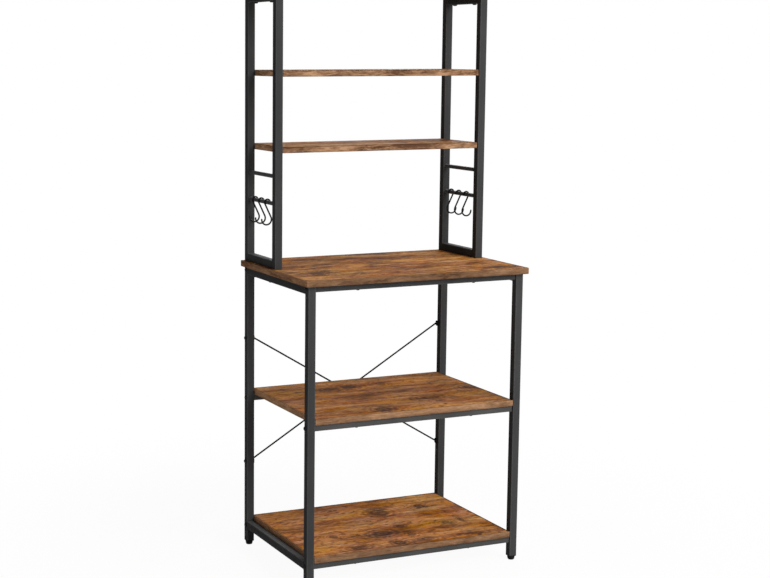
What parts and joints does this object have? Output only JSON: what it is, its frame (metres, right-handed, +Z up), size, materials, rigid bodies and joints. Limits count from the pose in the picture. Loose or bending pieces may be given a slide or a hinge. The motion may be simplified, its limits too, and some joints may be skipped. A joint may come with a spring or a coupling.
{
  "type": "kitchen rack",
  "caption": "Narrow kitchen rack: square-tube steel frame with a worktop, two lower shelves, and a shallow shelved hutch whose side rods carry S-hooks.",
  "frame": {"origin": "on the floor under the middle of the rack's outline, with the levelling feet screwed fully in", "axes": "+X to the rack's right as seen from the front, +Y to the back, +Z up; the front faces -Y"},
  "size_m": [0.6, 0.4, 1.422],
  "materials": {
    "black_steel": "matt black powder coat",
    "brown_board": "rustic brown laminated board, grain along the width",
    "bolt_steel": "black oxide",
    "hook_wire": "black coated wire",
    "black_plastic": "moulded black plastic"
  },
  "bodies": {
    "rack": {"bottom_rail_front": "black_steel", "bottom_rail_rear": "black_steel", "bottom_shelf": "brown_board", "brace_rod_falling": "black_steel", "brace_rod_rising": "black_steel", "hook_rod_lower_left": "black_steel", "hook_rod_lower_right": "black_steel", "hook_rod_upper_left": "black_steel", "hook_rod_upper_right": "black_steel", "hutch_bottom_bar_left": "black_steel", "hutch_bottom_bar_right": "black_steel", "hutch_post_front_left": "black_steel", "hutch_post_front_right": "black_steel", "hutch_post_rear_left": "black_steel", "hutch_post_rear_right": "black_steel", "hutch_shelf_lower": "brown_board", "hutch_shelf_upper": "brown_board", "hutch_top_bar_left": "black_steel", "hutch_top_bar_right": "black_steel", "lower_bottom_bar_left": "black_steel", "lower_bottom_bar_right": "black_steel", "lower_post_front_left": "black_steel", "lower_post_front_right": "black_steel", "lower_post_rear_left": "black_steel", "lower_post_rear_right": "black_steel", "lower_top_bar_left": "black_steel", "lower_top_bar_right": "black_steel", "middle_rail_front": "black_steel", "middle_rail_rear": "black_steel", "middle_shelf": "brown_board", "post_insert_front_left": "black_plastic", "post_insert_front_right": "black_plastic", "post_insert_rear_left": "black_plastic", "post_insert_rear_right": "black_plastic", "rail_bolt_bottom_front_left": "bolt_steel", "rail_bolt_bottom_front_right": "bolt_steel", "rail_bolt_bottom_rear_left": "bolt_steel", "rail_bolt_bottom_rear_right": "bolt_steel", "rail_bolt_middle_front_left": "bolt_steel", "rail_bolt_middle_front_right": "bolt_steel", "rail_bolt_middle_rear_left": "bolt_steel", "rail_bolt_middle_rear_right": "bolt_steel", "rail_bolt_top_front_left": "bolt_steel", "rail_bolt_top_front_right": "bolt_steel", "rail_bolt_top_rear_left": "bolt_steel", "rail_bolt_top_rear_right": "bolt_steel", "top_rail_front": "black_steel", "top_rail_rear": "black_steel", "top_shelf": "brown_board", "worktop": "brown_board"},
    "s_hook_left_1_body": {"s_hook_left_1": "hook_wire"},
    "s_hook_left_2_body": {"s_hook_left_2": "hook_wire"},
    "s_hook_left_3_body": {"s_hook_left_3": "hook_wire"},
    "s_hook_right_1_body": {"s_hook_right_1": "hook_wire"},
    "s_hook_right_2_body": {"s_hook_right_2": "hook_wire"},
    "s_hook_right_3_body": {"s_hook_right_3": "hook_wire"},
    "levelling_foot_front_left_body": {"levelling_foot_front_left": "black_plastic"},
    "levelling_foot_front_right_body": {"levelling_foot_front_right": "black_plastic"},
    "levelling_foot_rear_left_body": {"levelling_foot_rear_left": "black_plastic"},
    "levelling_foot_rear_right_body": {"levelling_foot_rear_right": "black_plastic"}
  },
  "joints": [
    {"name": "s_hook_left_1_swing", "type": "hinge", "parent": "rack", "child": "s_hook_left_1_body", "pos_m": [-0.281, 0.15, 0.9], "axis": [0, 1, 0], "range_deg": [-60, 60]},
    {"name": "s_hook_left_2_swing", "type": "hinge", "parent": "rack", "child": "s_hook_left_2_body", "pos_m": [-0.281, 0.112, 0.9], "axis": [0, 1, 0], "range_deg": [-60, 60]},
    {"name": "s_hook_left_3_swing", "type": "hinge", "parent": "rack", "child": "s_hook_left_3_body", "pos_m": [-0.281, 0.074, 0.9], "axis": [0, 1, 0], "range_deg": [-60, 60]},
    {"name": "s_hook_right_1_swing", "type": "hinge", "parent": "rack", "child": "s_hook_right_1_body", "pos_m": [0.281, 0.15, 0.9], "axis": [0, 1, 0], "range_deg": [-60, 60]},
    {"name": "s_hook_right_2_swing", "type": "hinge", "parent": "rack", "child": "s_hook_right_2_body", "pos_m": [0.281, 0.112, 0.9], "axis": [0, 1, 0], "range_deg": [-60, 60]},
    {"name": "s_hook_right_3_swing", "type": "hinge", "parent": "rack", "child": "s_hook_right_3_body", "pos_m": [0.281, 0.074, 0.9], "axis": [0, 1, 0], "range_deg": [-60, 60]},
    {"name": "foot_front_left_level", "type": "slide", "parent": "rack", "child": "levelling_foot_front_left_body", "axis": [0, 0, -1], "range_m": [0, 0.012]},
    {"name": "foot_front_right_level", "type": "slide", "parent": "rack", "child": "levelling_foot_front_right_body", "axis": [0, 0, -1], "range_m": [0, 0.012]},
    {"name": "foot_rear_left_level", "type": "slide", "parent": "rack", "child": "levelling_foot_rear_left_body", "axis": [0, 0, -1], "range_m": [0, 0.012]},
    {"name": "foot_rear_right_level", "type": "slide", "parent": "rack", "child": "levelling_foot_rear_right_body", "axis": [0, 0, -1], "range_m": [0, 0.012]}
  ]
}
